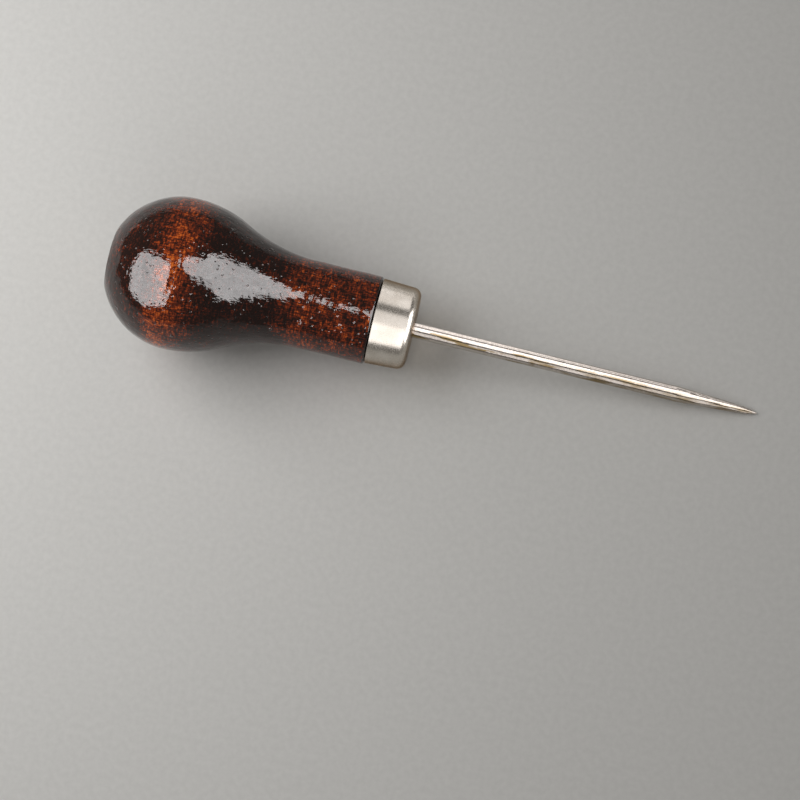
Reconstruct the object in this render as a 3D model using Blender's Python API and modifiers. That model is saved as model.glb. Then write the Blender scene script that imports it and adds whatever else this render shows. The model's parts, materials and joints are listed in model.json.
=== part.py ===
"""Scratch awl with a turned, gourd-shaped wooden handle, a nickel-plated ferrule and a steel needle.

The awl lies as it does on a bench: the bulb of the handle and the tip of the needle both touch the ground,
z = 0. The needle points along +X, nose down. Each piece is turned about its own Z axis, which runs from the
butt of the handle (z = 0) to the tip of the needle. One empty tilts them all together.
Units are metres.
"""
import math

import bmesh
import bpy

MM = 0.001

# Driving dimensions: lengths along the axis
TOTAL_LENGTH = 129.5 * MM
HANDLE_LENGTH = 52.6 * MM
FERRULE_LENGTH = 7.8 * MM
BUTT_TO_BULB_CENTRE = 13.85 * MM
BULB_TO_NECK_LENGTH = 19.0 * MM
BULB_FLOWS_OUT_AT = 24.3 * MM
NECK_STARTS_AT = 39.4 * MM
TANG_END_AT = 30.0 * MM

# Driving dimensions: radii
BULB_RADIUS = 15.1 * MM
NECK_RADIUS = 8.75 * MM
FERRULE_BACK_RADIUS = 8.45 * MM
FERRULE_FRONT_RADIUS = 8.15 * MM
NEEDLE_RADIUS = 1.5 * MM

# Smaller details
GAP = 0.3 * MM
SHOULDER_GROOVE = 0.3 * MM
BUTT_EDGE_RADIUS = 1.2 * MM
SHOULDER_RADIUS = 0.35 * MM
FERRULE_WALL = 0.6 * MM
FERRULE_CORNER_RADIUS = 1.3 * MM
FERRULE_LIP_RADIUS = 0.15 * MM
POINT_TAPER_LENGTH = 13.6 * MM
POINT_TAPER_END_RADIUS = 0.68 * MM
POINT_END_LENGTH = 2.5 * MM
POINT_BELLY = 1.3
TIP_RADIUS = 0.07 * MM
TANG_CHAMFER = 0.5 * MM
EAR_LENGTH = 6.0 * MM
EAR_WIDTH = 4.4 * MM
EAR_THICKNESS = 1.0 * MM
EAR_EDGE = 0.2 * MM
GLUE_WALL = 0.5 * MM
DRILL_POINT_HALF_ANGLE = math.radians(59)

# Facets round each turned piece, and points along its longer curves
HANDLE_STEPS = 48
FERRULE_STEPS = 48
NEEDLE_STEPS = 24
NECK_POINTS = 7
BULB_POINTS = 6
BALL_POINTS = 9
TAPER_POINTS = 6
TIP_POINTS = 3

# The search for the angle that the awl lies at
STEEPEST_TILT = math.radians(30)
TILT_HALVINGS = 40

# Worked out from the dimensions above
FERRULE_BACK_AT = HANDLE_LENGTH + SHOULDER_GROOVE
FERRULE_FRONT_AT = FERRULE_BACK_AT + FERRULE_LENGTH
SPIGOT_END_AT = FERRULE_FRONT_AT - FERRULE_WALL - GAP
GLUE_INNER_RADIUS = NEEDLE_RADIUS + GAP
BORE_RADIUS = GLUE_INNER_RADIUS + GLUE_WALL + GAP
BORE_BOTTOM_AT = TANG_END_AT - 2 * GAP
EARS_END_AT = TANG_END_AT + TANG_CHAMFER + EAR_LENGTH
GLUE_FROM = EARS_END_AT + 2 * GAP
GLUE_TO = SPIGOT_END_AT - GAP

PARTS = "scratch_awl"
CUTTERS = "shaping_tools"


def clear_scene():
    for item in list(bpy.data.objects):
        bpy.data.objects.remove(item, do_unlink=True)


def new_collection(name):
    collection = bpy.data.collections.new(name)
    bpy.context.scene.collection.children.link(collection)
    return collection


def linear(hex_colour):
    """An sRGB hex colour as linear RGBA."""
    channels = [int(hex_colour[i:i + 2], 16) / 255 for i in (1, 3, 5)]
    curve = [c / 12.92 if c <= 0.04045 else ((c + 0.055) / 1.055) ** 2.4 for c in channels]
    return (*curve, 1.0)


def material(name, hex_colour, roughness, metallic=0.0):
    made = bpy.data.materials.new(name)
    made.use_nodes = True
    shader = made.node_tree.nodes["Principled BSDF"]
    shader.inputs["Base Color"].default_value = linear(hex_colour)
    shader.inputs["Roughness"].default_value = roughness
    shader.inputs["Metallic"].default_value = metallic
    return made


def arc(centre_radius, centre_height, radius, start, end, count):
    """Points on a circle's arc as (radius, height). Angles are in degrees, 0 is outwards and 90 is up."""
    points = []
    for i in range(count + 1):
        angle = math.radians(start + (end - start) * i / count)
        points.append((centre_radius + radius * math.cos(angle), centre_height + radius * math.sin(angle)))
    return points


def ferrule_outside(height):
    """The ferrule tapers evenly from its back edge to its front face."""
    share = (height - FERRULE_BACK_AT) / FERRULE_LENGTH
    return FERRULE_BACK_RADIUS + (FERRULE_FRONT_RADIUS - FERRULE_BACK_RADIUS) * share


def bulb_towards_neck(height):
    """The neck side of the bulb is half an ellipse, longer than it is wide."""
    along = (height - BUTT_TO_BULB_CENTRE) / BULB_TO_NECK_LENGTH
    return BULB_RADIUS * math.sqrt(1 - along ** 2)


def hollow_of_neck(count):
    """The concave sweep from bulb to straight neck, a cubic that leaves the bulb at the bulb's own slope."""
    bottom = BULB_FLOWS_OUT_AT
    radius = bulb_towards_neck(bottom)
    flatness = (BULB_RADIUS / BULB_TO_NECK_LENGTH) ** 2
    slope = -flatness * (bottom - BUTT_TO_BULB_CENTRE) / radius
    length = NECK_STARTS_AT - bottom
    points = []
    for i in range(count, 0, -1):
        u = i / count
        from_bulb = (2 * u ** 3 - 3 * u ** 2 + 1) * radius + (u ** 3 - 2 * u ** 2 + u) * length * slope
        to_neck = (3 * u ** 2 - 2 * u ** 3) * NECK_RADIUS
        points.append((from_bulb + to_neck, bottom + u * length))
    return points


def handle_outline():
    """Up the tang hole, over the spigot and shoulder, and down the neck and bulb to the butt."""
    bore_tip = BORE_BOTTOM_AT - BORE_RADIUS / math.tan(DRILL_POINT_HALF_ANGLE)
    spigot_front = ferrule_outside(SPIGOT_END_AT) - FERRULE_WALL - GAP
    spigot_back = ferrule_outside(FERRULE_BACK_AT) - FERRULE_WALL - GAP
    hole = [(0, bore_tip), (BORE_RADIUS, BORE_BOTTOM_AT), (BORE_RADIUS, SPIGOT_END_AT)]
    spigot = [
        (spigot_front - GAP, SPIGOT_END_AT),
        (spigot_front, SPIGOT_END_AT - GAP),
        (spigot_back, HANDLE_LENGTH),
    ]
    shoulder_height = HANDLE_LENGTH - SHOULDER_RADIUS
    shoulder = arc(NECK_RADIUS - SHOULDER_RADIUS, shoulder_height, SHOULDER_RADIUS, 90, 0, 3)
    flow_angle = math.asin((BULB_FLOWS_OUT_AT - BUTT_TO_BULB_CENTRE) / BULB_TO_NECK_LENGTH)
    bulb = []
    for i in range(BULB_POINTS):
        angle = flow_angle * (1 - i / BULB_POINTS)
        height = BUTT_TO_BULB_CENTRE + BULB_TO_NECK_LENGTH * math.sin(angle)
        bulb.append((bulb_towards_neck(height), height))

    # The butt: a ball cut flat, with its edge rounded over where the two meet
    inner_ball = BULB_RADIUS - BUTT_EDGE_RADIUS
    edge_drop = BUTT_TO_BULB_CENTRE - BUTT_EDGE_RADIUS
    edge_radius = math.sqrt(inner_ball ** 2 - edge_drop ** 2)
    meeting_angle = -math.degrees(math.asin(edge_drop / inner_ball))
    ball = arc(0, BUTT_TO_BULB_CENTRE, BULB_RADIUS, 0, meeting_angle, BALL_POINTS)
    edge = arc(edge_radius, BUTT_EDGE_RADIUS, BUTT_EDGE_RADIUS, meeting_angle, -90, 2)[1:]
    return hole + spigot + shoulder + hollow_of_neck(NECK_POINTS) + bulb + ball + edge + [(0, 0)]


def ferrule_outline():
    """A closed loop round the wall of the cup, from the edge of its hole out, down, and up the inside."""
    hole = NEEDLE_RADIUS + GAP
    front = FERRULE_FRONT_AT
    inner_corner = FERRULE_CORNER_RADIUS - FERRULE_WALL
    corner_height = front - FERRULE_CORNER_RADIUS
    corner_radius = FERRULE_FRONT_RADIUS - FERRULE_CORNER_RADIUS
    lip = arc(hole + FERRULE_LIP_RADIUS, front - FERRULE_LIP_RADIUS, FERRULE_LIP_RADIUS, 180, 90, 2)
    outside = arc(corner_radius, corner_height, FERRULE_CORNER_RADIUS, 90, 0, 6)
    back = [(FERRULE_BACK_RADIUS, FERRULE_BACK_AT), (FERRULE_BACK_RADIUS - FERRULE_WALL, FERRULE_BACK_AT)]
    inside = arc(corner_radius, corner_height, inner_corner, 0, 90, 3)
    return lip + outside + back + inside + [(hole, front - FERRULE_WALL)]


def bellied_taper(top, base, count):
    """Points down a ground taper from its thin top, a little fuller than a straight cone."""
    points = []
    for i in range(count):
        share = 1 - i / count
        radius = base[0] - (base[0] - top[0]) * share ** POINT_BELLY
        points.append((radius, base[1] + (top[1] - base[1]) * share))
    return points


def needle_outline():
    """From the tip down the two tapers of the point and the straight shank to the end of the tang."""
    tip = (TIP_RADIUS, TOTAL_LENGTH - TIP_RADIUS)
    taper_end = (POINT_TAPER_END_RADIUS, TOTAL_LENGTH - POINT_END_LENGTH)
    taper_start = (NEEDLE_RADIUS, taper_end[1] - POINT_TAPER_LENGTH)
    point = bellied_taper(tip, taper_end, TIP_POINTS) + bellied_taper(taper_end, taper_start, TAPER_POINTS)
    tang = [
        (NEEDLE_RADIUS, TANG_END_AT + TANG_CHAMFER),
        (NEEDLE_RADIUS - TANG_CHAMFER, TANG_END_AT),
        (0, TANG_END_AT),
    ]
    return [(0, TOTAL_LENGTH)] + point + [taper_start] + tang


def glue_outline():
    """A closed loop round the sleeve of glue that fills the hole beside the tang."""
    inside = GLUE_INNER_RADIUS
    outside = inside + GLUE_WALL
    return [(inside, GLUE_TO), (outside, GLUE_TO), (outside, GLUE_FROM), (inside, GLUE_FROM)]


def turned(name, outline, closed, steps, finish, axis, collection):
    """A piece turned from an outline of (radius, height) points, carried by the awl's axis."""
    mesh = bpy.data.meshes.new(name)
    shape = bmesh.new()
    corners = [shape.verts.new((radius, 0, height)) for radius, height in outline]
    for first, second in zip(corners, corners[1:]):
        shape.edges.new((first, second))
    if closed:
        shape.edges.new((corners[-1], corners[0]))
    shape.to_mesh(mesh)
    shape.free()
    mesh.materials.append(finish)

    piece = bpy.data.objects.new(name, mesh)
    collection.objects.link(piece)
    piece.parent = axis
    # Half a facet round, so that the awl lies on a facet and not on an edge
    piece.rotation_euler.z = math.pi / steps
    lathe = piece.modifiers.new("turned", "SCREW")
    lathe.axis = "Z"
    lathe.angle = 2 * math.pi
    lathe.steps = steps
    lathe.render_steps = steps
    lathe.use_merge_vertices = True
    lathe.merge_threshold = 0.00001
    lathe.use_smooth_shade = True
    return piece


def hammer_ears(needle, axis, tools):
    """The end of the tang is hammered flat, so that it can't turn in the wood."""
    bpy.ops.mesh.primitive_cube_add(size=1)
    ears = bpy.context.object
    ears.name = "tang_ears"
    for owner in list(ears.users_collection):
        owner.objects.unlink(ears)
    tools.objects.link(ears)
    for corner in ears.data.vertices:
        corner.co.x *= EAR_THICKNESS
        corner.co.y *= EAR_WIDTH
        corner.co.z *= EAR_LENGTH
    ears.parent = axis
    ears.location.z = EARS_END_AT - EAR_LENGTH / 2
    ears.hide_render = True
    ears.display_type = "WIRE"
    edge = ears.modifiers.new("worn_edges", "BEVEL")
    edge.width = EAR_EDGE
    edge.segments = 1
    join = needle.modifiers.new("ears", "BOOLEAN")
    join.operation = "UNION"
    join.solver = "EXACT"
    join.object = ears


def faceted(outline, steps):
    """An outline as it stands at the middle of a facet, where a turned piece is a little thinner."""
    return [(radius * math.cos(math.pi / steps), height) for radius, height in outline]


def reach_down(outline, tilt):
    """How far the outline reaches below the butt's centre when the tip is tilted down by this angle."""
    return max(radius * math.cos(tilt) + height * math.sin(tilt) for radius, height in outline)


def lay_down(axis):
    """Tilts the awl nose down until bulb and point both meet the ground, and centres it over the origin."""
    handle = faceted(handle_outline(), HANDLE_STEPS)
    needle = faceted(needle_outline(), NEEDLE_STEPS)
    too_flat = 0.0
    too_steep = STEEPEST_TILT
    for _ in range(TILT_HALVINGS):
        tilt = (too_flat + too_steep) / 2
        if reach_down(needle, tilt) < reach_down(handle, tilt):
            too_flat = tilt
        else:
            too_steep = tilt
    left = min(height * math.cos(tilt) - radius * math.sin(tilt) for radius, height in handle)
    right = TOTAL_LENGTH * math.cos(tilt)
    axis.rotation_euler = (0, math.pi / 2 + tilt, 0)
    axis.location = (-(left + right) / 2, 0, reach_down(handle, tilt))


def build():
    clear_scene()
    parts = new_collection(PARTS)
    tools = new_collection(CUTTERS)
    axis = bpy.data.objects.new("awl_axis", None)
    parts.objects.link(axis)

    varnished_wood = material("varnished_dark_hardwood", "#4a1f12", 0.22)
    nickel = material("satin_nickel_plate", "#bdb3a6", 0.3, 1.0)
    steel = material("drawn_steel", "#c9c3bb", 0.28, 1.0)
    glue = material("hardened_glue", "#c8a868", 0.4)

    turned("handle", handle_outline(), False, HANDLE_STEPS, varnished_wood, axis, parts)
    turned("ferrule", ferrule_outline(), True, FERRULE_STEPS, nickel, axis, parts)
    needle = turned("needle", needle_outline(), False, NEEDLE_STEPS, steel, axis, parts)
    turned("tang_glue", glue_outline(), True, NEEDLE_STEPS, glue, axis, parts)
    hammer_ears(needle, axis, tools)
    lay_down(axis)


build()
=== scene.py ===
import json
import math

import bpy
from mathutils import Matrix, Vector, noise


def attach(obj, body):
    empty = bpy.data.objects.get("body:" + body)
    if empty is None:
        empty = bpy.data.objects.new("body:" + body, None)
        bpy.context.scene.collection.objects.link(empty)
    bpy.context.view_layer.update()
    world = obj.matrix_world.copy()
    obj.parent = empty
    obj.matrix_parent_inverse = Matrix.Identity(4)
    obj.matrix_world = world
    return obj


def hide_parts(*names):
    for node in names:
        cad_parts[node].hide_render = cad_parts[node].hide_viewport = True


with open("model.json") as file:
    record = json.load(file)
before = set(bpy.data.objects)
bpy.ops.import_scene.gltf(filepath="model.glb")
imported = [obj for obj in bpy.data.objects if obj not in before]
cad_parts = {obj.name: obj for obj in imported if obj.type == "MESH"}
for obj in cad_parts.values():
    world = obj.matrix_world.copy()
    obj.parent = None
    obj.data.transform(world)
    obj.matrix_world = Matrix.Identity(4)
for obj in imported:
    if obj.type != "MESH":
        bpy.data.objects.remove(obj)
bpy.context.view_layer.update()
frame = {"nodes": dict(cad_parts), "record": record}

# Looks of the scratch awl: a turned, stained and varnished handle with a bare butt, a nickel-plated ferrule
# and a drawn steel needle with a ground point. Each piece is turned about its own Z axis, which runs from the
# butt (z = 0) to the tip. One matrix, taken from the frame's butt_face mount, lays them all along the awl's
# axis. Lengths are metres.

MM = 0.001

# Lengths along the axis from the butt, as on the bench drawing of the awl
TOTAL_LENGTH = 129.5 * MM
HANDLE_LENGTH = 52.75 * MM
FERRULE_LENGTH = 7.8 * MM
BUTT_TO_BULB_CENTRE = 13.85 * MM
BULB_TO_NECK_LENGTH = 19.0 * MM
BULB_FLOWS_OUT_AT = 24.3 * MM
NECK_STARTS_AT = 39.4 * MM
TANG_END_AT = 30.0 * MM

# Radii
BULB_RADIUS = 15.1 * MM
NECK_RADIUS = 8.75 * MM
FERRULE_BACK_RADIUS = 8.45 * MM
FERRULE_FRONT_RADIUS = 8.15 * MM
NEEDLE_RADIUS = 1.5 * MM

# Smaller details of the handle
GAP = 0.3 * MM
SHOULDER_GROOVE = 0.15 * MM
SHOULDER_RADIUS = 0.35 * MM
BUTT_EDGE_RADIUS = 1.2 * MM
BARE_BUTT_RADIUS = 5.5 * MM
VARNISH_FILM = 0.06 * MM
CENTRE_MARK_RADIUS = 0.7 * MM
CENTRE_MARK_DEPTH = 0.5 * MM
DRILL_POINT_HALF_ANGLE = math.radians(59)

# Smaller details of the ferrule
FERRULE_WALL = 0.6 * MM
FERRULE_CORNER_RADIUS = 1.7 * MM
FERRULE_LIP_RADIUS = 0.15 * MM
FERRULE_RIM_RADIUS = 0.18 * MM

# Smaller details of the needle
POINT_TAPER_LENGTH = 13.6 * MM
POINT_TAPER_END_RADIUS = 0.68 * MM
POINT_END_LENGTH = 2.5 * MM
POINT_BELLY = 1.3
TIP_RADIUS = 0.07 * MM
TANG_CHAMFER = 0.5 * MM
EAR_LENGTH = 6.0 * MM
EAR_WIDTH = 4.2 * MM
EAR_THICKNESS = 1.0 * MM
EAR_FLOW = 0.8 * MM
GLUE_WALL = 0.5 * MM

# How finely each piece is drawn: points round it, and the longest step along its outline. The two tapers of
# the needle's point are curved, so their steps are shorter
HANDLE_COLUMNS = 288
HANDLE_STEP = 0.225 * MM
FERRULE_COLUMNS = 240
FERRULE_STEP = 0.16 * MM
NEEDLE_COLUMNS = 64
NEEDLE_STEP = 0.35 * MM
POINT_TAPER_STEPS = 46
POINT_END_STEPS = 14

# Worked out from the dimensions above
FERRULE_BACK_AT = HANDLE_LENGTH + SHOULDER_GROOVE
FERRULE_FRONT_AT = FERRULE_BACK_AT + FERRULE_LENGTH
SPIGOT_END_AT = FERRULE_FRONT_AT - FERRULE_WALL - GAP
BORE_RADIUS = NEEDLE_RADIUS + GAP + GLUE_WALL + GAP
BORE_BOTTOM_AT = TANG_END_AT - 2 * GAP
POINT_STARTS_AT = TOTAL_LENGTH - POINT_END_LENGTH - POINT_TAPER_LENGTH


# ---------------------------------------------------------------- outlines

def arc(centre_radius, centre_height, radius, start, end, step):
    """Points on a circle's arc as (radius, height). Angles are in degrees, 0 is outwards and 90 is up."""
    count = max(2, math.ceil(abs(math.radians(end - start)) * radius / step))
    points = []
    for i in range(count + 1):
        angle = math.radians(start + (end - start) * i / count)
        points.append((centre_radius + radius * math.cos(angle), centre_height + radius * math.sin(angle)))
    return points


def filled_in(outline, step):
    """The same outline with points added so that no step along it is longer than this."""
    points = [outline[0]]
    for (r0, h0), (r1, h1) in zip(outline, outline[1:]):
        count = max(1, math.ceil(math.hypot(r1 - r0, h1 - h0) / step))
        for i in range(1, count + 1):
            share = i / count
            points.append((r0 + (r1 - r0) * share, h0 + (h1 - h0) * share))
    return points


def ferrule_outside(height):
    """The ferrule tapers evenly from its back edge to its front face."""
    share = (height - FERRULE_BACK_AT) / FERRULE_LENGTH
    return FERRULE_BACK_RADIUS + (FERRULE_FRONT_RADIUS - FERRULE_BACK_RADIUS) * share


def bulb_towards_neck(height):
    """The neck side of the bulb is half an ellipse, longer than it is wide."""
    along = (height - BUTT_TO_BULB_CENTRE) / BULB_TO_NECK_LENGTH
    return BULB_RADIUS * math.sqrt(1 - along ** 2)


def hollow_of_neck(step):
    """The concave sweep from bulb to neck, a cubic that leaves the bulb at the bulb's own slope."""
    radius = bulb_towards_neck(BULB_FLOWS_OUT_AT)
    flatness = (BULB_RADIUS / BULB_TO_NECK_LENGTH) ** 2
    slope = -flatness * (BULB_FLOWS_OUT_AT - BUTT_TO_BULB_CENTRE) / radius
    length = NECK_STARTS_AT - BULB_FLOWS_OUT_AT
    count = math.ceil(length / step)
    points = []
    for i in range(count, 0, -1):
        u = i / count
        from_bulb = (2 * u ** 3 - 3 * u ** 2 + 1) * radius + (u ** 3 - 2 * u ** 2 + u) * length * slope
        to_neck = (3 * u ** 2 - 2 * u ** 3) * NECK_RADIUS
        points.append((from_bulb + to_neck, BULB_FLOWS_OUT_AT + u * length))
    return points


def handle_outline(step):
    """Up the tang hole, over the spigot and shoulder, and down the neck and bulb to the butt."""
    bore_tip = BORE_BOTTOM_AT - BORE_RADIUS / math.tan(DRILL_POINT_HALF_ANGLE)
    spigot_front = ferrule_outside(SPIGOT_END_AT) - FERRULE_WALL - GAP
    spigot_back = ferrule_outside(FERRULE_BACK_AT) - FERRULE_WALL - GAP
    hidden = [
        (0, bore_tip),
        (BORE_RADIUS, BORE_BOTTOM_AT),
        (BORE_RADIUS, SPIGOT_END_AT),
        (spigot_front - GAP, SPIGOT_END_AT),
        (spigot_front, SPIGOT_END_AT - GAP),
        (spigot_back, HANDLE_LENGTH),
    ]
    shoulder_height = HANDLE_LENGTH - SHOULDER_RADIUS
    shoulder = arc(NECK_RADIUS - SHOULDER_RADIUS, shoulder_height, SHOULDER_RADIUS, 90, 0, step / 2)
    neck = filled_in([shoulder[-1], (NECK_RADIUS, NECK_STARTS_AT)], step)[1:-1]
    flow_angle = math.asin((BULB_FLOWS_OUT_AT - BUTT_TO_BULB_CENTRE) / BULB_TO_NECK_LENGTH)
    bulb_count = math.ceil((BULB_FLOWS_OUT_AT - BUTT_TO_BULB_CENTRE) / step)
    bulb = []
    for i in range(bulb_count):
        angle = flow_angle * (1 - i / bulb_count)
        height = BUTT_TO_BULB_CENTRE + BULB_TO_NECK_LENGTH * math.sin(angle)
        bulb.append((bulb_towards_neck(height), height))

    # The butt: a ball cut flat, with its edge rounded over where the two meet
    inner_ball = BULB_RADIUS - BUTT_EDGE_RADIUS
    edge_drop = BUTT_TO_BULB_CENTRE - BUTT_EDGE_RADIUS
    edge_radius = math.sqrt(inner_ball ** 2 - edge_drop ** 2)
    meeting_angle = -math.degrees(math.asin(edge_drop / inner_ball))
    ball = arc(0, BUTT_TO_BULB_CENTRE, BULB_RADIUS, 0, meeting_angle, step)
    edge = arc(edge_radius, BUTT_EDGE_RADIUS, BUTT_EDGE_RADIUS, meeting_angle, -90, step)[1:]

    # The dimple that the lathe's centre left in the butt
    dimple = [(CENTRE_MARK_RADIUS, 0), (0, CENTRE_MARK_DEPTH)]
    butt = filled_in([edge[-1], *dimple], step)[1:]
    return hidden + shoulder + neck + hollow_of_neck(step) + bulb + ball + edge + butt


def ferrule_outline(step):
    """A closed loop round the wall of the cup, from the edge of its hole out, down, and up the inside."""
    hole = NEEDLE_RADIUS + GAP
    front = FERRULE_FRONT_AT
    fine = step / 3
    inner_corner = FERRULE_CORNER_RADIUS - FERRULE_WALL
    corner_height = front - FERRULE_CORNER_RADIUS
    corner_radius = FERRULE_FRONT_RADIUS - FERRULE_CORNER_RADIUS
    lip = arc(hole + FERRULE_LIP_RADIUS, front - FERRULE_LIP_RADIUS, FERRULE_LIP_RADIUS, 180, 90, fine)
    corner = arc(corner_radius, corner_height, FERRULE_CORNER_RADIUS, 90, 0, step)
    face = filled_in([lip[-1], corner[0]], step)[1:-1]
    rim_height = FERRULE_BACK_AT + FERRULE_RIM_RADIUS
    rim = arc(FERRULE_BACK_RADIUS - FERRULE_RIM_RADIUS, rim_height, FERRULE_RIM_RADIUS, 0, -90, fine)
    side = filled_in([corner[-1], rim[0]], step)[1:-1]
    inside = [(FERRULE_BACK_RADIUS - FERRULE_WALL, FERRULE_BACK_AT)]
    inside += arc(corner_radius, corner_height, inner_corner, 0, 90, step)
    return lip + face + corner + side + rim + inside + [(hole, front - FERRULE_WALL)]


def bellied_taper(top, base, count):
    """Points down a ground taper from its thin top, a little fuller than a straight cone."""
    points = []
    for i in range(count):
        share = 1 - i / count
        radius = base[0] - (base[0] - top[0]) * share ** POINT_BELLY
        points.append((radius, base[1] + (top[1] - base[1]) * share))
    return points


def needle_outline(step):
    """From the tip down the two tapers of the point and the straight shank to the end of the tang."""
    tip = arc(0, TOTAL_LENGTH - TIP_RADIUS, TIP_RADIUS, 90, 10, TIP_RADIUS / 4)
    tip[0] = (0, TOTAL_LENGTH)
    taper_end = (POINT_TAPER_END_RADIUS, TOTAL_LENGTH - POINT_END_LENGTH)
    taper_start = (NEEDLE_RADIUS, POINT_STARTS_AT)
    end_taper = bellied_taper(tip[-1], taper_end, POINT_END_STEPS)[1:]
    long_taper = bellied_taper(taper_end, taper_start, POINT_TAPER_STEPS)
    tang = [
        (NEEDLE_RADIUS, TANG_END_AT + TANG_CHAMFER),
        (NEEDLE_RADIUS - TANG_CHAMFER, TANG_END_AT),
        (0, TANG_END_AT),
    ]
    shank = filled_in([taper_start, *tang], step)
    return tip + end_taper + long_taper + shank


# ---------------------------------------------------------------- unevenness of the real surfaces

# Brushed varnish: soft swells where it settled, and finer ones that follow the wood's fibres
SWELL_SPACING = 3.0 * MM
SWELL_HEIGHT = 0.045 * MM
FIBRE_WAVE_SPACING = 0.9 * MM
FIBRE_WAVE_LENGTH = 4.5 * MM
FIBRE_WAVE_HEIGHT = 0.007 * MM
# Faint rings that the turning gouge left round the handle
GOUGE_SPACING = 1.7 * MM
GOUGE_HEIGHT = 0.006 * MM
GOUGE_WANDER_SPACING = 8 * MM
GOUGE_WANDER = 1.5
# Lathe rings and torn fibres on the bare butt
BUTT_RING_SPACING = 0.75 * MM
BUTT_RING_DEPTH = 0.03 * MM
TORN_FIBRE_SPACING = 0.5 * MM
# Tears in the varnish round the butt, in three layers. Each is 2.1 times as fine as the one before it, and
# 2.1 ** -0.8 times, so about half, as deep
TEAR_SPACING = 2.4 * MM
TEAR_DEPTH = 0.7 * MM
TEAR_LAYERS = 3
TEAR_FINER_BY = 2.1
TEAR_FADING = 0.8


def bare_butt_edge(angle):
    """The radius out to which the butt is bare: the film tore unevenly when the handle was parted off."""
    round_the_edge = Vector((math.cos(angle), math.sin(angle), 0.0)) * (BARE_BUTT_RADIUS / TEAR_SPACING)
    tear = abs(noise.fractal(round_the_edge, TEAR_FADING, TEAR_FINER_BY, TEAR_LAYERS))
    return BARE_BUTT_RADIUS - TEAR_DEPTH * tear


def handle_relief(radius, height, angle):
    """How far the handle's surface stands out of its outline."""
    if height > HANDLE_LENGTH - SHOULDER_RADIUS:
        return 0.0
    if height < CENTRE_MARK_DEPTH + GAP and radius < bare_butt_edge(angle):
        rings = math.sin(2 * math.pi * radius / BUTT_RING_SPACING)
        on_butt = Vector((radius * math.cos(angle), radius * math.sin(angle), 0))
        torn = noise.noise(on_butt / TORN_FIBRE_SPACING)
        return -VARNISH_FILM + BUTT_RING_DEPTH * (0.5 * rings + 0.5 * torn)
    across = Vector((radius * math.cos(angle), radius * math.sin(angle), height))
    swell = noise.noise(across / SWELL_SPACING)
    fibre_wave = noise.noise(Vector((
        across.x / FIBRE_WAVE_SPACING,
        across.y / FIBRE_WAVE_SPACING,
        height / FIBRE_WAVE_LENGTH,
    )))
    gouge_wander = noise.noise(across / GOUGE_WANDER_SPACING) * GOUGE_WANDER
    gouge = math.sin(2 * math.pi * (height / GOUGE_SPACING + gouge_wander))
    return SWELL_HEIGHT * swell + FIBRE_WAVE_HEIGHT * fibre_wave + GOUGE_HEIGHT * gouge


# Dents that the ferrule picked up from pressing and handling
DENT_SPACING = 4.0 * MM
DENT_DEPTH = 0.012 * MM
SPINNING_RING_SPACING = 0.9 * MM
SPINNING_RING_HEIGHT = 0.0012 * MM


def ferrule_relief(radius, height, angle):
    """How far the ferrule's surface stands out of its outline."""
    place = Vector((radius * math.cos(angle), radius * math.sin(angle), height))
    dent = min(0.0, noise.noise(place / DENT_SPACING))
    ring = math.sin(2 * math.pi * (height + radius) / SPINNING_RING_SPACING)
    return DENT_DEPTH * dent + SPINNING_RING_HEIGHT * ring


# Slight unevenness left by drawing the wire and by grinding the point by hand
DRAW_WAVE_LENGTH = 7.0 * MM
DRAW_WAVE_HEIGHT = 0.006 * MM
GRIND_FLATS = 7
GRIND_FLAT_DEPTH = 0.02
GRIND_TURN_LENGTH = 9.0 * MM
GRIND_WANDER = 3.0
GRIND_WANDERS_FINER_BY = 2.0
POINT_RIDGE_LENGTH = 0.5 * MM
POINT_RIDGE_HEIGHT = 0.05 * MM


def needle_relief(radius, height, angle):
    """How far the needle's surface stands out of its outline."""
    if height > TOTAL_LENGTH - POINT_END_LENGTH / 2 or radius < TIP_RADIUS:
        return 0.0
    out = Vector((math.cos(angle), math.sin(angle), height / DRAW_WAVE_LENGTH))
    drawn = DRAW_WAVE_HEIGHT * noise.noise(out)
    if height < POINT_STARTS_AT - 4 * POINT_RIDGE_LENGTH:
        return drawn
    ridge = POINT_RIDGE_HEIGHT * math.exp(-((height - POINT_STARTS_AT) / POINT_RIDGE_LENGTH) ** 2)
    if height < POINT_STARTS_AT:
        return drawn + ridge
    turn = GRIND_FLATS * angle + 2 * math.pi * height / GRIND_TURN_LENGTH
    wander = GRIND_WANDER * noise.noise(out * GRIND_WANDERS_FINER_BY)
    return drawn + ridge - radius * GRIND_FLAT_DEPTH * (0.5 + 0.5 * math.sin(turn + wander))


# ---------------------------------------------------------------- making the meshes

def awl_matrix():
    """Lays local Z along the awl, from the centre of its butt towards its tip."""
    butt = next(m for m in frame["record"]["mounts"] if m["name"] == "butt_face")
    along = -Vector(butt["axis"]).normalized()
    across = Vector((0.0, 1.0, 0.0))
    down = across.cross(along).normalized()
    turned_to = Matrix((down, across, along)).transposed().to_4x4()
    return Matrix.Translation(Vector(butt["pos_m"])) @ turned_to


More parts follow.
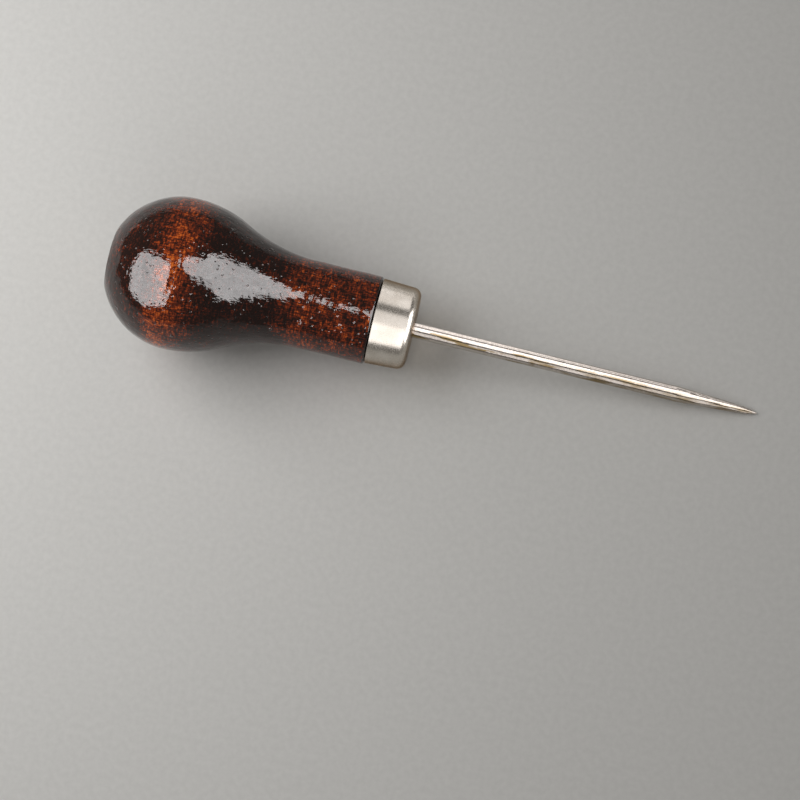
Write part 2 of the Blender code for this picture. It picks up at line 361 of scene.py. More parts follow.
def turned(name, outline, columns, relief, closed=False, finish_of=None):
    """A mesh turned from an outline of (radius, height) points, with relief along the outline's normal.

    A closed outline ends where it began. Any other begins or ends on the axis.
    """
    points = []
    rings = []
    count = len(outline)
    for i, (radius, height) in enumerate(outline):
        before = outline[i - 1] if i or closed else outline[i]
        after = outline[(i + 1) % count] if i + 1 < count or closed else outline[i]
        normal = Vector((before[1] - after[1], after[0] - before[0]))
        normal.normalize()
        if radius == 0:
            rings.append([len(points)])
            points.append((0.0, 0.0, height + relief(0.0, height, 0.0) * normal.y))
            continue
        rings.append(range(len(points), len(points) + columns))
        for k in range(columns):
            angle = 2 * math.pi * k / columns
            push = relief(radius, height, angle)
            r = radius + normal.x * push
            points.append((r * math.cos(angle), r * math.sin(angle), height + normal.y * push))
    faces = []
    pairs = list(zip(rings, rings[1:]))
    if closed:
        pairs.append((rings[-1], rings[0]))
    for above, below in pairs:
        for k in range(columns):
            n = (k + 1) % columns
            upper = (above[k % len(above)], above[n % len(above)])
            lower = (below[k % len(below)], below[n % len(below)])
            corners = [upper[0], lower[0], lower[1], upper[1]]
            faces.append(list(dict.fromkeys(corners)))
    mesh = bpy.data.meshes.new(name)
    mesh.from_pydata(points, [], faces)
    mesh.polygons.foreach_set("use_smooth", [True] * len(mesh.polygons))
    if finish_of:
        mesh.polygons.foreach_set("material_index", [finish_of(p.center) for p in mesh.polygons])
    mesh.update()
    return mesh


def hammer_ears(mesh):
    """Flattens the end of the tang into two ears, as a hammer does, so that it can't turn in the wood."""
    middle = TANG_END_AT + TANG_CHAMFER + EAR_LENGTH / 2
    for corner in mesh.vertices:
        reach = EAR_LENGTH / 2 + EAR_FLOW - abs(corner.co.z - middle)
        share = min(1.0, max(0.0, reach / EAR_FLOW))
        share = share * share * (3 - 2 * share)
        corner.co.x *= 1 + (EAR_THICKNESS / (2 * NEEDLE_RADIUS) - 1) * share
        corner.co.y *= 1 + (EAR_WIDTH / (2 * NEEDLE_RADIUS) - 1) * share


def placed(name, mesh, finishes, node):
    """Puts a mesh on the awl's axis, in its finishes, where it stands for its CAD node."""
    for finish in finishes:
        mesh.materials.append(finish)
    piece = bpy.data.objects.new(name, mesh)
    bpy.context.scene.collection.objects.link(piece)
    piece.matrix_world = awl_matrix()
    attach(piece, "root")
    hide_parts(node)
    return piece


# ---------------------------------------------------------------- finishes

def linear(hex_colour):
    """An sRGB hex colour as linear RGBA."""
    channels = [int(hex_colour[i:i + 2], 16) / 255 for i in (1, 3, 5)]
    curve = [c / 12.92 if c <= 0.04045 else ((c + 0.055) / 1.055) ** 2.4 for c in channels]
    return (*curve, 1.0)


def add(tree, kind, settings, inputs):
    """Adds a node with its settings. An input that is another node's output is linked, any other is set."""
    node = tree.nodes.new("ShaderNode" + kind)
    for name, value in settings.items():
        if name == "stops":
            stops = node.color_ramp.elements
            while len(stops) < len(value):
                stops.new(0.5)
            for stop, (position, colour) in zip(stops, value):
                stop.position = position
                stop.color = linear(colour)
        else:
            setattr(node, name, value)
    for name, value in inputs.items():
        if isinstance(value, bpy.types.NodeSocket):
            tree.links.new(value, node.inputs[name])
        else:
            node.inputs[name].default_value = value
    return node


def new_finish(name):
    """An empty material, with its node tree and its shader."""
    finish = bpy.data.materials.new(name)
    finish.use_nodes = True
    return finish, finish.node_tree, finish.node_tree.nodes["Principled BSDF"]


# Sizes of the patterns in the stained wood. Fibres are really about 0.1 mm wide and the scratches of 240 grit
# paper 0.06 mm apart: both are drawn coarser, to show
FIBRE_WIDTH = 0.25 * MM
FIBRE_LENGTH = 1.3 * MM
SCRATCH_SPACING = 0.35 * MM
SCRATCH_LENGTH = 1.3 * MM
FLECK_SIZE = 0.55 * MM
BLOTCH_SIZE = 3.5 * MM
# The direction of the fibres, which lie almost along the axis, and how much more the neck side is cut across
FIBRES_ALONG = (0.03, -0.02, 1.0)
MORE_ON_NECK_SIDE = 0.07
# How much end grain and the neck are darkened, and blotches are darker or lighter, on the scale of the
# stain's colours from 0 to 1
END_GRAIN_DARKER = 0.52
NECK_DARKER = 0.2
BLOTCH_STRENGTH = 0.24
# Relief in the varnish
RIPPLE_WIDTH = 1.2 * MM
RIPPLE_LENGTH = 2.4 * MM
RIPPLE_HEIGHT = 0.085 * MM
TELEGRAPHED_HEIGHT = 0.008 * MM
PIT_SPACING = 1.2 * MM
PIT_DEPTH = 0.05 * MM
NIB_SPACING = 4.0 * MM
NIB_HEIGHT = 0.16 * MM


def stained_and_varnished_beech():
    """Beech, turned, sanded on the lathe, stained dark red-brown and brushed with oil varnish.

    The stain soaks deep into open end grain, so the bulb's two shoulders are nearly black and only its
    widest band and the neck, where the fibres run along the surface, stay orange-brown. Fibres lengthwise
    and sanding scratches crosswise give a fine woven look. The thick varnish over it shines like wet glass,
    with swells, pits and dust nibs that break up the edges of every highlight. All the gloss is the coat's,
    so the wood under it has none of its own.
    """
    finish, tree, shader = new_finish("stained_and_varnished_beech")
    where = add(tree, "TexCoord", {}, {})
    place = where.outputs["Object"]

    fibre_place = add(tree, "Mapping", {}, {
        "Vector": place,
        "Scale": (1 / FIBRE_WIDTH, 1 / FIBRE_WIDTH, 1 / FIBRE_LENGTH),
    })
    fibres = add(tree, "TexNoise", {}, {
        "Vector": fibre_place.outputs["Vector"],
        "Scale": 1.0,
        "Detail": 2.0,
        "Roughness": 0.6,
    })
    scratch_place = add(tree, "Mapping", {}, {
        "Vector": place,
        "Scale": (1 / SCRATCH_LENGTH, 1 / SCRATCH_LENGTH, 1 / SCRATCH_SPACING),
    })
    scratches = add(tree, "TexNoise", {}, {
        "Vector": scratch_place.outputs["Vector"],
        "Scale": 1.0,
        "Detail": 2.0,
        "Roughness": 0.55,
    })
    # Vessels and ray flecks, where stain gathers in dots
    flecks = add(tree, "TexNoise", {}, {
        "Vector": place,
        "Scale": 1 / FLECK_SIZE,
        "Detail": 3.0,
        "Roughness": 0.7,
    })
    blotches = add(tree, "TexNoise", {}, {
        "Vector": place,
        "Scale": 1 / BLOTCH_SIZE,
        "Detail": 4.0,
        "Roughness": 0.65,
    })

    # End grain: how far the surface turns away from the fibres
    lean = add(tree, "VectorMath", {"operation": "DOT_PRODUCT"}, {
        0: where.outputs["Normal"],
        1: FIBRES_ALONG,
    })
    leaned = add(tree, "Math", {"operation": "ADD"}, {0: lean.outputs["Value"], 1: MORE_ON_NECK_SIDE})
    open_pores = add(tree, "Math", {"operation": "ABSOLUTE"}, {0: leaned.outputs[0]})
    soak = add(tree, "MapRange", {"interpolation_type": "SMOOTHSTEP"}, {
        "Value": open_pores.outputs[0],
        "From Min": 0.05,
        "From Max": 0.36,
        "To Min": 0.0,
        "To Max": END_GRAIN_DARKER,
    })

    crossed = add(tree, "Math", {"operation": "ADD"}, {
        0: fibres.outputs["Fac"],
        1: scratches.outputs["Fac"],
    })
    dotted = add(tree, "Math", {"operation": "ADD"}, {0: crossed.outputs[0], 1: flecks.outputs["Fac"]})
    woven = add(tree, "MapRange", {}, {
        "Value": dotted.outputs[0],
        "From Min": 1.16,
        "From Max": 1.82,
    })
    cloudy = add(tree, "MapRange", {}, {
        "Value": blotches.outputs["Fac"],
        "From Min": 0.3,
        "From Max": 0.7,
        "To Min": -BLOTCH_STRENGTH,
        "To Max": BLOTCH_STRENGTH,
    })
    lightness = add(tree, "Math", {"operation": "ADD"}, {0: woven.outputs[0], 1: cloudy.outputs[0]})
    # The colour darkens from the bulb's centre towards the ferrule, so the neck is darker
    along = add(tree, "SeparateXYZ", {}, {"Vector": place})
    darker_towards_ferrule = add(tree, "MapRange", {"interpolation_type": "SMOOTHSTEP"}, {
        "Value": along.outputs["Z"],
        "From Min": BUTT_TO_BULB_CENTRE,
        "From Max": HANDLE_LENGTH,
        "To Min": 0.0,
        "To Max": NECK_DARKER,
    })
    darkening = add(tree, "Math", {"operation": "ADD"}, {0: darker_towards_ferrule.outputs[0], 1: soak.outputs[0]})
    stained = add(tree, "Math", {"operation": "SUBTRACT"}, {0: lightness.outputs[0], 1: darkening.outputs[0]})
    colour = add(tree, "ValToRGB", {"stops": [
        (0.0, "#1f0e09"),
        (0.2, "#3b180d"),
        (0.45, "#5e230f"),
        (0.7, "#9c3e16"),
        (1.0, "#d86c26"),
    ]}, {"Fac": stained.outputs[0]})
    tree.links.new(colour.outputs["Color"], shader.inputs["Base Color"])

    # The varnish's own surface: fibres that telegraph through it, brush ripples, pits where it sank into
    # pores, and dust nibs
    ripple_place = add(tree, "Mapping", {}, {
        "Vector": place,
        "Scale": (1 / RIPPLE_WIDTH, 1 / RIPPLE_WIDTH, 1 / RIPPLE_LENGTH),
    })
    ripple = add(tree, "TexNoise", {}, {
        "Vector": ripple_place.outputs["Vector"],
        "Scale": 1.0,
        "Detail": 2.5,
        "Roughness": 0.55,
    })
    telegraph = add(tree, "Bump", {}, {
        "Strength": 1.0,
        "Distance": TELEGRAPHED_HEIGHT,
        "Height": crossed.outputs[0],
    })
    rippled = add(tree, "Bump", {}, {
        "Strength": 1.0,
        "Distance": RIPPLE_HEIGHT,
        "Height": ripple.outputs["Fac"],
        "Normal": telegraph.outputs["Normal"],
    })
    pit_cells = add(tree, "TexVoronoi", {"feature": "F1"}, {
        "Vector": place,
        "Scale": 1 / PIT_SPACING,
    })
    pits = add(tree, "MapRange", {}, {
        "Value": pit_cells.outputs["Distance"],
        "From Min": 0.08,
        "From Max": 0.2,
    })
    pitted = add(tree, "Bump", {}, {
        "Strength": 1.0,
        "Distance": PIT_DEPTH,
        "Height": pits.outputs[0],
        "Normal": rippled.outputs["Normal"],
    })
    nib_cells = add(tree, "TexVoronoi", {"feature": "F1"}, {
        "Vector": place,
        "Scale": 1 / NIB_SPACING,
    })
    nibs = add(tree, "MapRange", {"interpolation_type": "SMOOTHSTEP"}, {
        "Value": nib_cells.outputs["Distance"],
        "From Min": 0.1,
        "From Max": 0.02,
    })
    nibbed = add(tree, "Bump", {}, {
        "Strength": 1.0,
        "Distance": NIB_HEIGHT,
        "Height": nibs.outputs[0],
        "Normal": pitted.outputs["Normal"],
    })
    tree.links.new(nibbed.outputs["Normal"], shader.inputs["Coat Normal"])
    tree.links.new(nibbed.outputs["Normal"], shader.inputs["Normal"])
    shader.inputs["Roughness"].default_value = 0.5
    shader.inputs["Specular IOR Level"].default_value = 0.0
    shader.inputs["Coat Weight"].default_value = 1.0
    shader.inputs["Coat Roughness"].default_value = 0.03
    shader.inputs["Coat IOR"].default_value = 1.5
    return finish


# Sizes of the patterns in the bare butt. Pores are really 0.05 mm wide: drawn coarser, to show
PORE_SPACING = 0.4 * MM
# The wave pattern repeats every 0.314 of its size, so the growth rings are 4.4 mm apart
GROWTH_WAVE_SIZE = 14 * MM
BUTT_PATCH_SIZE = 1.6 * MM
BUTT_ROUGHNESS_HEIGHT = 0.06 * MM


def bare_turned_beech():
    """Beech end grain, parted off on the lathe and left bare: pale and matt, with open pores and rings."""
    finish, tree, shader = new_finish("bare_turned_beech")
    place = add(tree, "TexCoord", {}, {}).outputs["Object"]
    pores = add(tree, "TexVoronoi", {"feature": "F1"}, {"Vector": place, "Scale": 1 / PORE_SPACING})
    growth = add(tree, "TexWave", {"wave_type": "BANDS", "bands_direction": "X"}, {
        "Vector": place,
        "Scale": 1 / GROWTH_WAVE_SIZE,
        "Distortion": 2.0,
        "Detail": 2.0,
    })
    patches = add(tree, "TexNoise", {}, {"Vector": place, "Scale": 1 / BUTT_PATCH_SIZE, "Detail": 3.0})
    mixed = add(tree, "Mix", {"data_type": "FLOAT"}, {
        0: 0.5,
        2: growth.outputs["Fac"],
        3: patches.outputs["Fac"],
    })
    colour = add(tree, "ValToRGB", {"stops": [
        (0.2, "#8a6039"),
        (0.45, "#c79c68"),
        (0.75, "#dcbb8c"),
    ]}, {"Fac": mixed.outputs[0]})
    pored = add(tree, "MapRange", {}, {
        "Value": pores.outputs["Distance"],
        "From Min": 0.1,
        "From Max": 0.4,
    })
    darkened = add(tree, "Mix", {"data_type": "RGBA"}, {
        0: pored.outputs[0],
        6: linear("#6b4526"),
        7: colour.outputs["Color"],
    })
    tree.links.new(darkened.outputs[2], shader.inputs["Base Color"])
    rough = add(tree, "Bump", {}, {
        "Strength": 1.0,
        "Distance": BUTT_ROUGHNESS_HEIGHT,
        "Height": patches.outputs["Fac"],
    })
    tree.links.new(rough.outputs["Normal"], shader.inputs["Normal"])
    shader.inputs["Roughness"].default_value = 0.75
    return finish


# Sizes of the patterns in the plating. Polishing grain is really a few hundredths of a millimetre: drawn
# coarser, to show
POLISH_GRAIN_SIZE = 0.22 * MM
POLISH_GRAIN_DEPTH = 0.0035 * MM
PLATING_CLOUD_SIZE = 3.0 * MM


def satin_nickel_plate():
    """Brass cup, drawn, lathe-polished and nickel-plated: warm grey, soft reflections with fine speckle."""
    finish, tree, shader = new_finish("satin_nickel_plate")
    place = add(tree, "TexCoord", {}, {}).outputs["Object"]
    grain = add(tree, "TexNoise", {}, {
        "Vector": place,
        "Scale": 1 / POLISH_GRAIN_SIZE,
        "Detail": 2.0,
        "Roughness": 0.6,
    })
    cloud = add(tree, "TexNoise", {}, {"Vector": place, "Scale": 1 / PLATING_CLOUD_SIZE, "Detail": 3.0})
    colour = add(tree, "ValToRGB", {"stops": [
        (0.35, "#c2bbb1"),
        (0.65, "#d2ccc3"),
    ]}, {"Fac": cloud.outputs["Fac"]})
    tree.links.new(colour.outputs["Color"], shader.inputs["Base Color"])
    shine = add(tree, "MapRange", {}, {
        "Value": grain.outputs["Fac"],
        "From Min": 0.3,
        "From Max": 0.7,
        "To Min": 0.18,
        "To Max": 0.34,
    })
    tree.links.new(shine.outputs[0], shader.inputs["Roughness"])
    relief = add(tree, "Bump", {}, {
        "Strength": 1.0,
        "Distance": POLISH_GRAIN_DEPTH,
        "Height": grain.outputs["Fac"],
    })
    tree.links.new(relief.outputs["Normal"], shader.inputs["Normal"])
    # Polished on the lathe, so its fine lines run round it and spread reflections lengthwise
    round_it = add(tree, "Tangent", {"direction_type": "RADIAL", "axis": "Z"}, {})
    tree.links.new(round_it.outputs["Tangent"], shader.inputs["Tangent"])
    shader.inputs["Anisotropic"].default_value = 0.35
    shader.inputs["Anisotropic Rotation"].default_value = 0.25
    # Seen edge-on the plating looks browner
    shader.inputs["Specular Tint"].default_value = linear("#b39c84")
    shader.inputs["Metallic"].default_value = 1.0
    return finish


# Sizes of the patterns in the steel. Die lines are really under 0.05 mm apart: drawn coarser, to show
DIE_LINE_SPACING = 0.3 * MM
DIE_LINE_LENGTH = 4.0 * MM
DIE_LINE_DEPTH = 0.005 * MM
MOTTLE_SIZE = 0.45 * MM
MOTTLE_DEPTH = 0.007 * MM
TARNISH_WIDTH = 1.6 * MM
TARNISH_LENGTH = 9.0 * MM
# How fast the tarnish fades at the edge of the side it is on
TARNISH_EDGE = 0.15 * NEEDLE_RADIUS


def drawn_and_ground_steel():
    """Carbon steel wire, cold-drawn, with a point ground and lightly polished by hand.

    Drawing leaves fine lines along the needle that stretch every reflection into long streaks. Handling
    has left streaks of yellow-brown tarnish on one side, most of them just before the point.
    """
    finish, tree, shader = new_finish("drawn_and_ground_steel")
    place = add(tree, "TexCoord", {}, {}).outputs["Object"]
    line_place = add(tree, "Mapping", {}, {
        "Vector": place,
        "Scale": (1 / DIE_LINE_SPACING, 1 / DIE_LINE_SPACING, 1 / DIE_LINE_LENGTH),
    })
    lines = add(tree, "TexNoise", {}, {
        "Vector": line_place.outputs["Vector"],
        "Scale": 1.0,
        "Detail": 3.0,
        "Roughness": 0.6,
    })
    mottle = add(tree, "TexNoise", {}, {"Vector": place, "Scale": 1 / MOTTLE_SIZE, "Detail": 3.0})
    patch_place = add(tree, "Mapping", {}, {
        "Vector": place,
        "Scale": (1 / TARNISH_WIDTH, 1 / TARNISH_WIDTH, 1 / TARNISH_LENGTH),
    })
    patches = add(tree, "TexNoise", {}, {
        "Vector": patch_place.outputs["Vector"],
        "Scale": 1.0,
        "Detail": 3.0,
        "Roughness": 0.65,
    })
    along = add(tree, "SeparateXYZ", {}, {"Vector": place})
    # The nearer the point, the less it takes for a streak to show
    least_for_streak = add(tree, "MapRange", {"interpolation_type": "SMOOTHSTEP"}, {
        "Value": along.outputs["Z"],
        "From Min": FERRULE_FRONT_AT,
        "From Max": POINT_STARTS_AT,
        "To Min": 0.58,
        "To Max": 0.34,
    })
    streaks = add(tree, "MapRange", {"interpolation_type": "SMOOTHSTEP"}, {
        "Value": patches.outputs["Fac"],
        "From Min": least_for_streak.outputs[0],
        "From Max": 0.6,
    })
    lain_on = add(tree, "MapRange", {"interpolation_type": "SMOOTHSTEP"}, {
        "Value": along.outputs["Y"],
        "From Min": TARNISH_EDGE,
        "From Max": -TARNISH_EDGE,
    })
    tarnished = add(tree, "Math", {"operation": "MULTIPLY"}, {0: streaks.outputs[0], 1: lain_on.outputs[0]})
    metal = add(tree, "ValToRGB", {"stops": [
        (0.3, "#b5aca4"),
        (0.7, "#d2cbc4"),
    ]}, {"Fac": mottle.outputs["Fac"]})
    colour = add(tree, "Mix", {"data_type": "RGBA"}, {
        0: tarnished.outputs[0],
        6: metal.outputs["Color"],
        7: linear("#8d7b5a"),
    })
    tree.links.new(colour.outputs[2], shader.inputs["Base Color"])
    shine = add(tree, "MapRange", {}, {
        "Value": lines.outputs["Fac"],
        "From Min": 0.3,
        "From Max": 0.7,
        "To Min": 0.1,
        "To Max": 0.22,
    })
    tree.links.new(shine.outputs[0], shader.inputs["Roughness"])
    scored = add(tree, "Bump", {}, {
        "Strength": 1.0,
        "Distance": DIE_LINE_DEPTH,
        "Height": lines.outputs["Fac"],
    })
    pitted = add(tree, "Bump", {}, {
        "Strength": 1.0,
        "Distance": MOTTLE_DEPTH,
        "Height": mottle.outputs["Fac"],
        "Normal": scored.outputs["Normal"],
    })
    tree.links.new(pitted.outputs["Normal"], shader.inputs["Normal"])
    shader.inputs["Metallic"].default_value = 1.0
    return finish


# Sizes of the patterns in the glue
GLUE_DEPTH_SIZE = 1.5 * MM
GLUE_BUBBLE_SPACING = 0.8 * MM
GLUE_BUBBLE_HEIGHT = 0.05 * MM


def hardened_hide_glue():
    """Hide glue, poured hot and set: amber, half clear, glossy, with a few bubbles."""
    finish, tree, shader = new_finish("hardened_hide_glue")
    place = add(tree, "TexCoord", {}, {}).outputs["Object"]
    depth = add(tree, "TexNoise", {}, {"Vector": place, "Scale": 1 / GLUE_DEPTH_SIZE, "Detail": 3.0})
    colour = add(tree, "ValToRGB", {"stops": [
        (0.3, "#a8763a"),
        (0.7, "#dcb878"),
    ]}, {"Fac": depth.outputs["Fac"]})
    tree.links.new(colour.outputs["Color"], shader.inputs["Base Color"])
    bubbles = add(tree, "TexVoronoi", {"feature": "F1"}, {"Vector": place, "Scale": 1 / GLUE_BUBBLE_SPACING})
    relief = add(tree, "Bump", {}, {
        "Strength": 0.6,
        "Distance": GLUE_BUBBLE_HEIGHT,
        "Height": bubbles.outputs["Distance"],
    })
    tree.links.new(relief.outputs["Normal"], shader.inputs["Normal"])
    shader.inputs["Roughness"].default_value = 0.35
    shader.inputs["IOR"].default_value = 1.53
    return finish


# The stipple on the board
ROLLER_STIPPLE_SIZE = 1.2 * MM
ROLLER_STIPPLE_HEIGHT = 0.03 * MM


def matt_painted_board():
    """A board under matt emulsion: pale warm grey, hardly any shine, and the faint stipple of a roller."""
    finish, tree, shader = new_finish("matt_painted_board")
    place = add(tree, "TexCoord", {}, {}).outputs["Object"]
    stipple = add(tree, "TexNoise", {}, {"Vector": place, "Scale": 1 / ROLLER_STIPPLE_SIZE, "Detail": 2.0})
    colour = add(tree, "ValToRGB", {"stops": [
        (0.3, "#d3d2cf"),
        (0.7, "#d9d8d5"),
    ]}, {"Fac": stipple.outputs["Fac"]})
    tree.links.new(colour.outputs["Color"], shader.inputs["Base Color"])
    relief = add(tree, "Bump", {}, {
        "Strength": 0.3,
        "Distance": ROLLER_STIPPLE_HEIGHT,
        "Height": stipple.outputs["Fac"],
    })
    tree.links.new(relief.outputs["Normal"], shader.inputs["Normal"])
    shader.inputs["Roughness"].default_value = 0.7
    return finish


# ---------------------------------------------------------------- the awl

def butt_or_side(centre):
    """0 for the varnished surface of the handle, 1 for the bare wood of its butt."""
    on_butt = centre.z < CENTRE_MARK_DEPTH + GAP
    return int(on_butt and math.hypot(centre.x, centre.y) < bare_butt_edge(math.atan2(centre.y, centre.x)))


def build_awl():
    """Turns the three pieces that show and finishes the glue, which keeps its own mesh inside the handle."""
    outline = handle_outline(HANDLE_STEP)
    handle = turned("handle", outline, HANDLE_COLUMNS, handle_relief, finish_of=butt_or_side)
    wood = [stained_and_varnished_beech(), bare_turned_beech()]
    placed("turned_handle", handle, wood, "handle")

    outline = ferrule_outline(FERRULE_STEP)
    ferrule = turned("ferrule", outline, FERRULE_COLUMNS, ferrule_relief, closed=True)
    placed("plated_ferrule", ferrule, [satin_nickel_plate()], "ferrule")

    needle = turned("needle", needle_outline(NEEDLE_STEP), NEEDLE_COLUMNS, needle_relief)
    hammer_ears(needle)
    placed("ground_needle", needle, [drawn_and_ground_steel()], "needle")

    glue = frame["nodes"]["tang_glue"]
    glue.data.materials.clear()
    glue.data.materials.append(hardened_hide_glue())


# ---------------------------------------------------------------- floor, light and camera

FLOOR_SIZE = 6.0
# The camera: what it looks at, how far it stands off and in which direction, and how it is rolled
AIM = Vector((-2.7, -14.3, 10.0)) * MM
CAMERA_DISTANCE = 596.2 * MM
CAMERA_AZIMUTH = math.radians(40.1)
CAMERA_ELEVATION = math.radians(76.1)
CAMERA_ROLL = math.radians(-26.96)
CAMERA_LENS = 138.2
CAMERA_SENSOR_WIDTH = 36.0
# The lights. The key stands near the butt, so its light falls off towards the tip
KEY_DISTANCE = 280 * MM
KEY_SIZE = 0.25
KEY_BRIGHTNESS = 3.2
FILL_DISTANCE = 800 * MM
FILL_SIZE = 0.7
FILL_BRIGHTNESS = 0.5
ROOM_BRIGHTNESS = 0.19
# The cloths and cards that are seen mirrored in the gloss, and how much their brightness varies
CLOTH_DISTANCE = 800 * MM
CLOTH_FOLD_SPACING = 80 * MM
CLOTH_UNEVENNESS = 0.28
CARD_HALF_WIDTH = 400 * MM
CARD_REACH = 700 * MM
CARD_THICKNESS = 0.5 * MM
# Varnish mirrors only about a twentieth of what falls on it, so its cloths are the brightest
VARNISH_CLOTH_BRIGHTNESS = 8.2


def direction(azimuth, elevation):
    """Unit vector from the awl. Azimuth 0 is towards -Y, and grows towards +X."""
    flat = math.cos(elevation)
    return Vector((math.sin(azimuth) * flat, -math.cos(azimuth) * flat, math.sin(elevation)))


def facing(towards, right):
    """The rotation of a camera or lamp that stands off this way and looks back, with this on its right."""
    right = (right - towards * right.dot(towards)).normalized()
    return Matrix((right, towards.cross(right), towards)).transposed()


def from_camera_line(along, below):
    """Unit vector from the awl, by its angles in degrees from the line to the camera.

    The first is along the awl, towards its tip. The second is below it, towards -Y.
    """
    towards = direction(CAMERA_AZIMUTH, CAMERA_ELEVATION)
    to_tip = awl_matrix().to_3x3().col[2]
    to_tip = (to_tip - towards * to_tip.dot(towards)).normalized()
    down = to_tip.cross(towards)
    along = math.radians(along)
    below = math.radians(below)
    level = towards * math.cos(along) + to_tip * math.sin(along)
    return level * math.cos(below) + down * math.sin(below)


def rectangle(low, high):
    """The corners of a rectangle, in order round it."""
    return [(low[0], low[1]), (high[0], low[1]), (high[0], high[1]), (low[0], high[1])]


def lay_floor():
    """A flat board under the awl, wide enough to fill every view."""
    mesh = bpy.data.meshes.new("floor")
    half = FLOOR_SIZE / 2
    corners = [(x, y, 0) for x, y in rectangle((-half, -half), (half, half))]
    mesh.from_pydata(corners, [], [range(len(corners))])
    mesh.materials.append(matt_painted_board())
    floor = bpy.data.objects.new("floor", mesh)
    bpy.context.scene.collection.objects.link(floor)


def hang_softbox(name, along, below, distance, size, brightness):
    """A square softbox that lights the awl and the floor. What gloss shows of it is hung separately."""
    lamp = bpy.data.lights.new(name, "AREA")
    lamp.size = size
    # A flat lamp gives off pi times its brightness from each square metre
    lamp.energy = brightness * math.pi * size ** 2
    stand = bpy.data.objects.new(name, lamp)
    towards = from_camera_line(along, below)
    turn = facing(towards, Vector((1, 0, 0))).to_4x4()
    stand.matrix_world = Matrix.Translation(AIM + towards * distance) @ turn
    stand.visible_camera = False
    stand.visible_glossy = False
    bpy.context.scene.collection.objects.link(stand)


def hang_diffuser(name, corners, brightness, mirrored_in):
    """A cloth that hangs facing the awl, with its corners at these angles from the camera's line."""
    directions = [from_camera_line(along, below) for along, below in corners]
    middle = sum(directions, Vector()).normalized()
    points = [AIM + d * (CLOTH_DISTANCE / d.dot(middle)) for d in directions]
    spread_glowing(name, points, brightness, mirrored_in)


def lay_card(name, starts_at, brightness, mirrored_in):
    """A white card that lies on the floor behind the awl and starts at this distance from it."""
    corners = rectangle((-CARD_HALF_WIDTH, starts_at), (CARD_HALF_WIDTH, CARD_REACH))
    points = [Vector((x, y, CARD_THICKNESS)) for x, y in corners]
    spread_glowing(name, points, brightness, mirrored_in)


def spread_glowing(name, points, brightness, mirrored_in):
    """A glowing sheet that isn't seen itself, only mirrored in some pieces."""
    mesh = bpy.data.meshes.new(name)
    mesh.from_pydata(points, [], [range(len(points))])
    mesh.materials.append(glowing_cloth(name, brightness))
    cloth = bpy.data.objects.new(name, mesh)
    bpy.context.scene.collection.objects.link(cloth)
    cloth.visible_camera = False
    cloth.visible_diffuse = False
    cloth.visible_shadow = False
    cloth.visible_transmission = False
    shown_in = bpy.data.collections.new(name + "_is_mirrored_in")
    for piece in mirrored_in:
        shown_in.objects.link(bpy.data.objects[piece])
    cloth.light_linking.receiver_collection = shown_in


def glowing_cloth(name, brightness):
    """White diffuser cloth in front of a lamp: soft light, weaker in the folds, where it is thicker."""
    finish = bpy.data.materials.new(name)
    finish.use_nodes = True
    tree = finish.node_tree
    tree.nodes.clear()
    place = add(tree, "TexCoord", {}, {}).outputs["Object"]
    folds = add(tree, "TexNoise", {}, {"Vector": place, "Scale": 1 / CLOTH_FOLD_SPACING, "Detail": 3.0})
    glow = add(tree, "MapRange", {}, {
        "Value": folds.outputs["Fac"],
        "From Min": 0.3,
        "From Max": 0.7,
        "To Min": brightness * (1 - CLOTH_UNEVENNESS),
        "To Max": brightness * (1 + CLOTH_UNEVENNESS),
    })
    emission = add(tree, "Emission", {}, {"Color": linear("#fffcfc"), "Strength": glow.outputs[0]})
    # It is also clear, so that it hides no other cloth behind it
    clear = add(tree, "BsdfTransparent", {}, {})
    both = add(tree, "AddShader", {}, {0: emission.outputs["Emission"], 1: clear.outputs["BSDF"]})
    add(tree, "OutputMaterial", {}, {"Surface": both.outputs["Shader"]})
    return finish


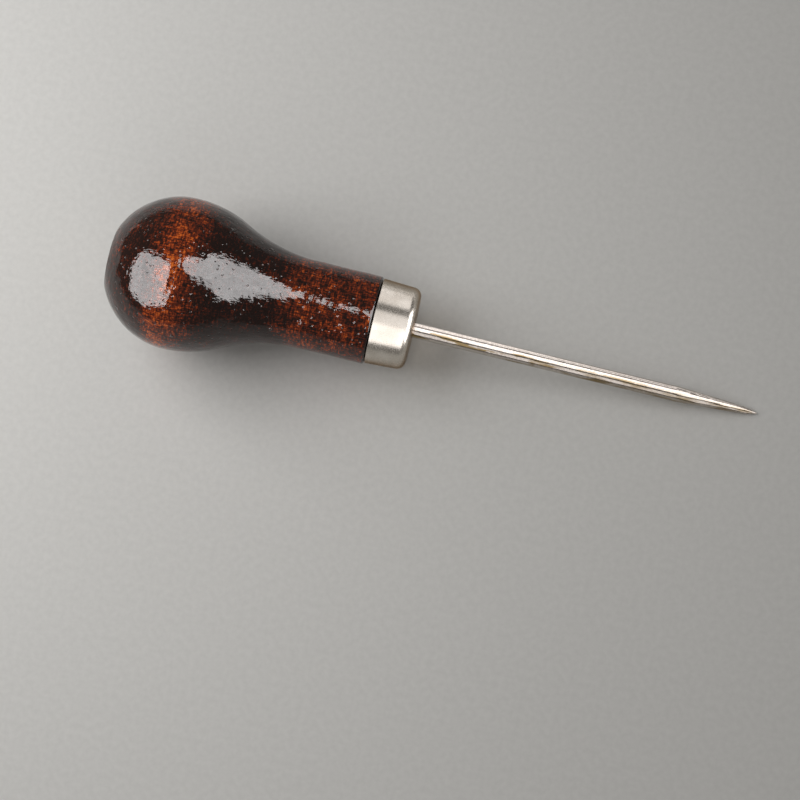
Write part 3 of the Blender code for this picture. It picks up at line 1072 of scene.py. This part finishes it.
def light_the_scene():
    """Two softboxes light everything. The cloths and cards are what the varnish and the metals mirror.

    A cloth's corners are degrees along the awl and below the camera's line. The convex bulb and the hollow
    beside it both mirror needle_cloth, which makes one long patch that thins to a line along the neck.
    """
    hang_softbox("key_box", -57, -12, KEY_DISTANCE, KEY_SIZE, KEY_BRIGHTNESS)
    hang_softbox("fill_box", 10, 48, FILL_DISTANCE, FILL_SIZE, FILL_BRIGHTNESS)

    handle = ["turned_handle"]
    hang_diffuser("butt_cloth", [
        (-59, -17), (-14, -11), (-16, 20), (-15, 56), (-63, 49), (-82, 30), (-78, 11), (-70, -6),
    ], VARNISH_CLOTH_BRIGHTNESS, handle)
    hang_diffuser("needle_cloth", [
        (-7, -20), (-1, -22.5), (3, -27), (16, -31), (25, -40), (44, -40), (70, -28),
        (70, 26), (40, 22), (28, 12), (12, 3), (3, -4), (-1, -9), (-7, -12),
    ], VARNISH_CLOTH_BRIGHTNESS, handle)

    # The gaps between these are the dark bands along the ferrule and the needle
    ferrule = ["plated_ferrule"]
    needle = ["ground_needle"]
    hang_diffuser("ferrule_upper_cloth", rectangle((-40, -24), (40, 4)), 1.0, ferrule)
    hang_diffuser("ferrule_lower_cloth", rectangle((-40, 4), (40, 54)), 1.9, ferrule)
    hang_diffuser("ferrule_front_cloth", rectangle((45, -35), (86, 28)), 4.0, ferrule)
    hang_diffuser("needle_far_cloth", rectangle((-40, -112), (60, -62)), 1.5, needle)
    hang_diffuser("needle_upper_cloth", rectangle((-40, -40), (60, -2)), 2.3, needle)
    hang_diffuser("needle_lower_cloth", rectangle((-40, 12), (60, 50)), 0.95, needle)
    hang_diffuser("far_card", [
        (-30, -47), (30, -47), (60, -75), (150, -78), (-150, -78), (-60, -75),
    ], 1.15, ferrule)
    lay_card("card_behind", 60 * MM, 0.85, ferrule)
    lay_card("card_behind_needle", 14 * MM, 1.2, needle)

    world = bpy.data.worlds.new("dim_room")
    bpy.context.scene.world = world
    world.use_nodes = True
    room = world.node_tree.nodes["Background"]
    room.inputs["Color"].default_value = linear("#f3efea")
    room.inputs["Strength"].default_value = ROOM_BRIGHTNESS


def stand_camera():
    """A long lens looking almost straight down, rolled so that the needle points to the lower right."""
    camera = bpy.data.objects.new("camera", bpy.data.cameras.new("camera"))
    bpy.context.scene.collection.objects.link(camera)
    camera.data.lens = CAMERA_LENS
    camera.data.sensor_width = CAMERA_SENSOR_WIDTH
    towards = direction(CAMERA_AZIMUTH, CAMERA_ELEVATION)
    level = Vector((0, 0, 1)).cross(towards).normalized()
    right = level * math.cos(CAMERA_ROLL) + towards.cross(level) * math.sin(CAMERA_ROLL)
    turn = facing(towards, right).to_4x4()
    camera.matrix_world = Matrix.Translation(AIM + towards * CAMERA_DISTANCE) @ turn
    bpy.context.scene.camera = camera
    bpy.context.scene.view_settings.view_transform = "Standard"


build_awl()
lay_floor()
light_the_scene()
stand_camera()
